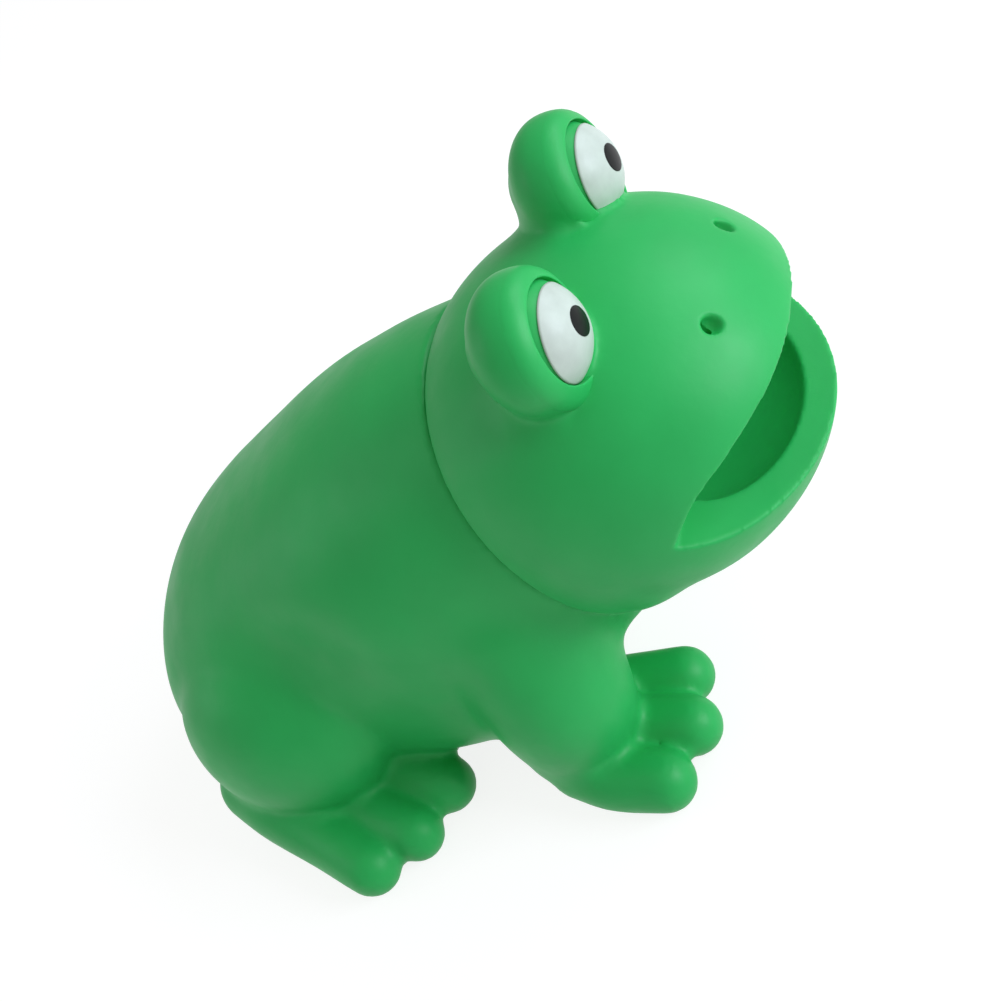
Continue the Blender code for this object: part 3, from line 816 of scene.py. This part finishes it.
def head_fill(points):
    """How far the head's creases are filled: only behind the front of the nearer hood."""
    ahead = np.zeros(len(points))
    for _, side in SIDES:
        middle, facing, _ = eye_axes(side, LID_DIP)
        reach = (points - np.array(middle)) @ np.array(facing)
        ahead = np.where(points[:, 0] * side > 0, reach, ahead)
    return fade(ahead, *HOOD_FRONT_FADE)


class FROG_OT_head(bpy.types.Operator):
    """Makes the moulded head with its mouth, eye hoods, lids and nostrils"""

    bl_idname = "frog.head"
    bl_label = "Head"

    def execute(self, context):
        sizes = context.scene.frog_sizes
        bm = bmesh.new()
        head_ball(bm)
        for _, side in SIDES:
            hood(bm, side, sizes.hood_radius / MM)
            ellipsoid(bm, mirrored(EYE_MIDDLE, side), [sizes.eye_radius / MM - EYE_BALL_GAP] * 3)
        head = place("frog_head", bm)
        melt(head, sizes.skin * HEAD_ROUGH_SKIN, 3)
        fill_creases(head, head_fill, HEAD_FILL_ROUNDS)
        slice_off(head, Vector((0, -SEAM_GAP * MM, 0)), Vector((0, 1, 0)))
        for cut in (mouth_opening, mouth_pocket):
            bm = bmesh.new()
            cut(bm)
            join(head, bm)
        for _, side in SIDES:
            bm = bmesh.new()
            ellipsoid(bm, mirrored(NOSTRIL, side), NOSTRIL_RADII)
            join(head, bm)
        melt(head, sizes.skin * HEAD_FINE_SKIN, 8, HEAD_FACES_KEPT)
        for _, side in SIDES:
            bm = bmesh.new()
            eye_lid(bm, side)
            join(head, bm, "UNION")
            bm = bmesh.new()
            hole = mirrored(NOSTRIL, side) + Vector(NOSTRIL_HOLE)
            ellipsoid(bm, hole, NOSTRIL_HOLE_RADII, detail=24)
            join(head, bm)
        drop_flaps(head)
        head.data.set_sharp_from_angle(angle=math.radians(HEAD_SHARP_ANGLE))
        to_neck(head)
        vinyl = soft_vinyl("head_vinyl", context.scene.frog_finishes.vinyl)
        finish_piece(head, vinyl, "head", "head_vinyl", "head_shell")
        return {"FINISHED"}


def eye_patch(bm, side, dip, edge, outer, inner, rings=24, sides=72):
    """Adds a thin round patch on an eye, out to an angle and between two radii."""
    middle, facing, upwards = eye_axes(side, dip)
    sideways = Vector((1, 0, 0))

    def ring(share, radius):
        out = radius * math.sin(share * edge)
        centre = middle + radius * math.cos(share * edge) * facing
        return [centre + out * (math.cos(a) * sideways + math.sin(a) * upwards) for a in turns(sides)]

    shares = np.linspace(0.01, 1.0, rings).tolist()
    loops = [ring(share, outer) for share in shares]
    loops += [ring(share, inner) for share in shares[::-1]]
    loft(bm, loops)


class FROG_OT_eyes(bpy.types.Operator):
    """Makes the white and the pupil of each eye"""

    bl_idname = "frog.eyes"
    bl_label = "Eyes"

    def execute(self, context):
        finishes = context.scene.frog_finishes
        sizes = context.scene.frog_sizes
        radius = sizes.eye_radius / MM
        coat = sizes.coat / MM
        white = sprayed_paint("eye_white", finishes.eye_white, 0.05, (0.34, 0.48), 0.5)
        black = sprayed_paint("pupil_black", finishes.pupil, 0.25, (0.3, 0.42), 0.2)
        white_edge = math.radians(WHITE_EDGE)
        pupil_edge = sizes.pupil_radius / sizes.eye_radius
        for name, side in SIDES:
            bm = bmesh.new()
            eye_patch(bm, side, WHITE_DIP, white_edge, radius + coat, radius - WHITE_THICK)
            piece = place(f"{name}_eye_coat", bm)
            to_neck(piece)
            finish_piece(piece, white, "head", "eye_white", f"{name}_eye_white")
            bm = bmesh.new()
            eye_patch(bm, side, PUPIL_DIP, pupil_edge, radius + 2 * coat, radius - PUPIL_THICK)
            piece = place(f"{name}_pupil_coat", bm)
            to_neck(piece)
            finish_piece(piece, black, "head", "pupil_black", f"{name}_pupil")
        return {"FINISHED"}


class FROG_OT_squeaker(bpy.types.Operator):
    """Makes the squeaker's housing and finishes its inner parts"""

    bl_idname = "frog.squeaker"
    bl_label = "Squeaker"

    def execute(self, context):
        colour = context.scene.frog_finishes.squeaker
        plastic = moulded_plastic("squeaker_plastic", colour, 0.03)
        bm = bmesh.new()
        profile = (
            (SOUND_HOLE, 0.3),
            (SOUND_HOLE + 0.3, 0.0),
            (SOUND_HOLE + 1.2, 0.0),
            (SOUND_HOLE + 1.5, 0.35),
            (FLANGE_RADIUS - 2.6, 0.35),
            (FLANGE_RADIUS - 2.3, 0.0),
            (FLANGE_RADIUS - 0.5, 0.0),
            (FLANGE_RADIUS - 0.15, 0.15),
            (FLANGE_RADIUS, 0.5),
            (FLANGE_RADIUS, FLANGE_THICK),
            (BARREL_RADIUS, FLANGE_THICK),
            (BARREL_RADIUS, BARREL_LENGTH),
            (BARREL_BORE, BARREL_LENGTH),
            (BARREL_BORE, HOUSING_FLOOR),
            (SOUND_HOLE, HOUSING_FLOOR),
        )
        turned(bm, profile)
        bm.transform(squeaker_place())
        housing = place("squeaker_cup", bm)
        bevel = housing.modifiers.new("Edges", "BEVEL")
        bevel.width = EDGE_ROUND * MM
        bevel.segments = 2
        settle(housing)
        finish_piece(housing, plastic, "body", "squeaker_plastic", "squeaker_housing")
        film = moulded_plastic("reed_film", (0.62, 0.60, 0.50), 0.05)
        for node, item in frame["nodes"].items():
            if node.startswith("squeaker_") and node != "squeaker_housing":
                item.data.materials.clear()
                item.data.materials.append(film if node == "squeaker_reed" else plastic)
        return {"FINISHED"}


def pale_floor():
    """White where the camera looks at it, with a light shadow under the toy."""
    finish = bpy.data.materials.new("pale_floor")
    finish.use_nodes = True
    tree = finish.node_tree
    tree.nodes.clear()
    path = tree.nodes.new("ShaderNodeLightPath")
    seen = tree.nodes.new("ShaderNodeMath")
    seen.operation = "MAXIMUM"
    either = tree.nodes.new("ShaderNodeMath")
    either.operation = "MAXIMUM"
    tree.links.new(path.outputs["Is Camera Ray"], seen.inputs[0])
    tree.links.new(path.outputs["Is Glossy Ray"], seen.inputs[1])
    tree.links.new(seen.outputs[0], either.inputs[0])
    tree.links.new(path.outputs["Is Transmission Ray"], either.inputs[1])
    matte = tree.nodes.new("ShaderNodeBsdfDiffuse")
    matte.inputs["Color"].default_value = (0.8, 0.8, 0.8, 1.0)
    dim = tree.nodes.new("ShaderNodeBsdfDiffuse")
    dim.inputs["Color"].default_value = (0.25, 0.25, 0.25, 1.0)
    glow = tree.nodes.new("ShaderNodeEmission")
    glow.inputs["Strength"].default_value = 0.85
    lit = tree.nodes.new("ShaderNodeAddShader")
    tree.links.new(dim.outputs[0], lit.inputs[0])
    tree.links.new(glow.outputs[0], lit.inputs[1])
    mix = tree.nodes.new("ShaderNodeMixShader")
    tree.links.new(either.outputs[0], mix.inputs[0])
    tree.links.new(matte.outputs[0], mix.inputs[1])
    tree.links.new(lit.outputs[0], mix.inputs[2])
    out = tree.nodes.new("ShaderNodeOutputMaterial")
    tree.links.new(mix.outputs[0], out.inputs["Surface"])
    return finish


def soft_lamp(name, spot, power):
    """A square soft light at a spot, turned to the toy."""
    lamp = bpy.data.lights.new(name, "AREA")
    lamp.size = LIGHT_SIZE
    lamp.energy = power
    lamp.color = LIGHT_COLOUR
    item = bpy.data.objects.new(name, lamp)
    item.location = spot
    towards = Vector(LIGHT_AIM) - Vector(spot)
    item.rotation_euler = towards.to_track_quat("-Z", "Y").to_euler()
    bpy.context.scene.collection.objects.link(item)


def photo_camera():
    """A camera at the photo's angle, turned as the photo is."""
    lens = bpy.data.cameras.new("camera")
    lens.lens = CAMERA_LENS
    lens.sensor_width = CAMERA_SENSOR
    lens.clip_start = CAMERA_NEAREST
    camera = bpy.data.objects.new("camera", lens)
    back = Vector(CAMERA_BACK).normalized()
    up = back.cross(Vector(CAMERA_RIGHT)).normalized()
    turn = Matrix((up.cross(back), up, back)).transposed().to_4x4()
    spot = NECK_POINT + Vector(CAMERA_FROM_NECK)
    camera.matrix_world = Matrix.Translation(spot) @ turn
    bpy.context.scene.collection.objects.link(camera)
    return camera


class FROG_OT_stage(bpy.types.Operator):
    """Makes the floor, the light and the camera"""

    bl_idname = "frog.stage"
    bl_label = "Stage"

    def execute(self, context):
        scene = context.scene
        stage = scene.frog_stage
        bm = bmesh.new()
        bmesh.ops.create_grid(bm, x_segments=1, y_segments=1, size=FLOOR_HALF)
        floor = place("floor", bm)
        floor.data.materials.append(pale_floor())
        for name, spot in LIGHT_SPOTS.items():
            soft_lamp(name, spot, getattr(stage, name))
        world = bpy.data.worlds.new("studio")
        world.use_nodes = True
        sky = world.node_tree.nodes["Background"].inputs
        sky["Color"].default_value = SKY_COLOUR
        sky["Strength"].default_value = stage.sky
        scene.world = world
        scene.view_settings.view_transform = "Standard"
        scene.camera = photo_camera()
        return {"FINISHED"}


class FROG_PT_panel(bpy.types.Panel):
    """Lists the toy's pieces"""

    bl_label = "Frog toy"
    bl_idname = "FROG_PT_panel"
    bl_space_type = "VIEW_3D"
    bl_region_type = "UI"
    bl_category = "Frog toy"

    def draw(self, context):
        for name in ("body", "head", "eyes", "squeaker", "stage"):
            self.layout.operator(f"frog.{name}")
        for group in (context.scene.frog_sizes, context.scene.frog_finishes, context.scene.frog_stage):
            for key in group.__annotations__:
                self.layout.prop(group, key)


CLASSES = (
    FrogSizes,
    FrogFinishes,
    FrogStage,
    FROG_OT_body,
    FROG_OT_head,
    FROG_OT_eyes,
    FROG_OT_squeaker,
    FROG_OT_stage,
    FROG_PT_panel,
)


def register():
    for item in CLASSES:
        bpy.utils.register_class(item)
    bpy.types.Scene.frog_sizes = PointerProperty(type=FrogSizes)
    bpy.types.Scene.frog_finishes = PointerProperty(type=FrogFinishes)
    bpy.types.Scene.frog_stage = PointerProperty(type=FrogStage)


def unregister():
    del bpy.types.Scene.frog_stage
    del bpy.types.Scene.frog_finishes
    del bpy.types.Scene.frog_sizes
    for item in reversed(CLASSES):
        bpy.utils.unregister_class(item)


def main():
    register()
    bpy.ops.frog.body()
    bpy.ops.frog.head()
    bpy.ops.frog.eyes()
    bpy.ops.frog.squeaker()
    bpy.ops.frog.stage()
    bpy.context.view_layer.update()


if __name__ == "__main__":
    main()
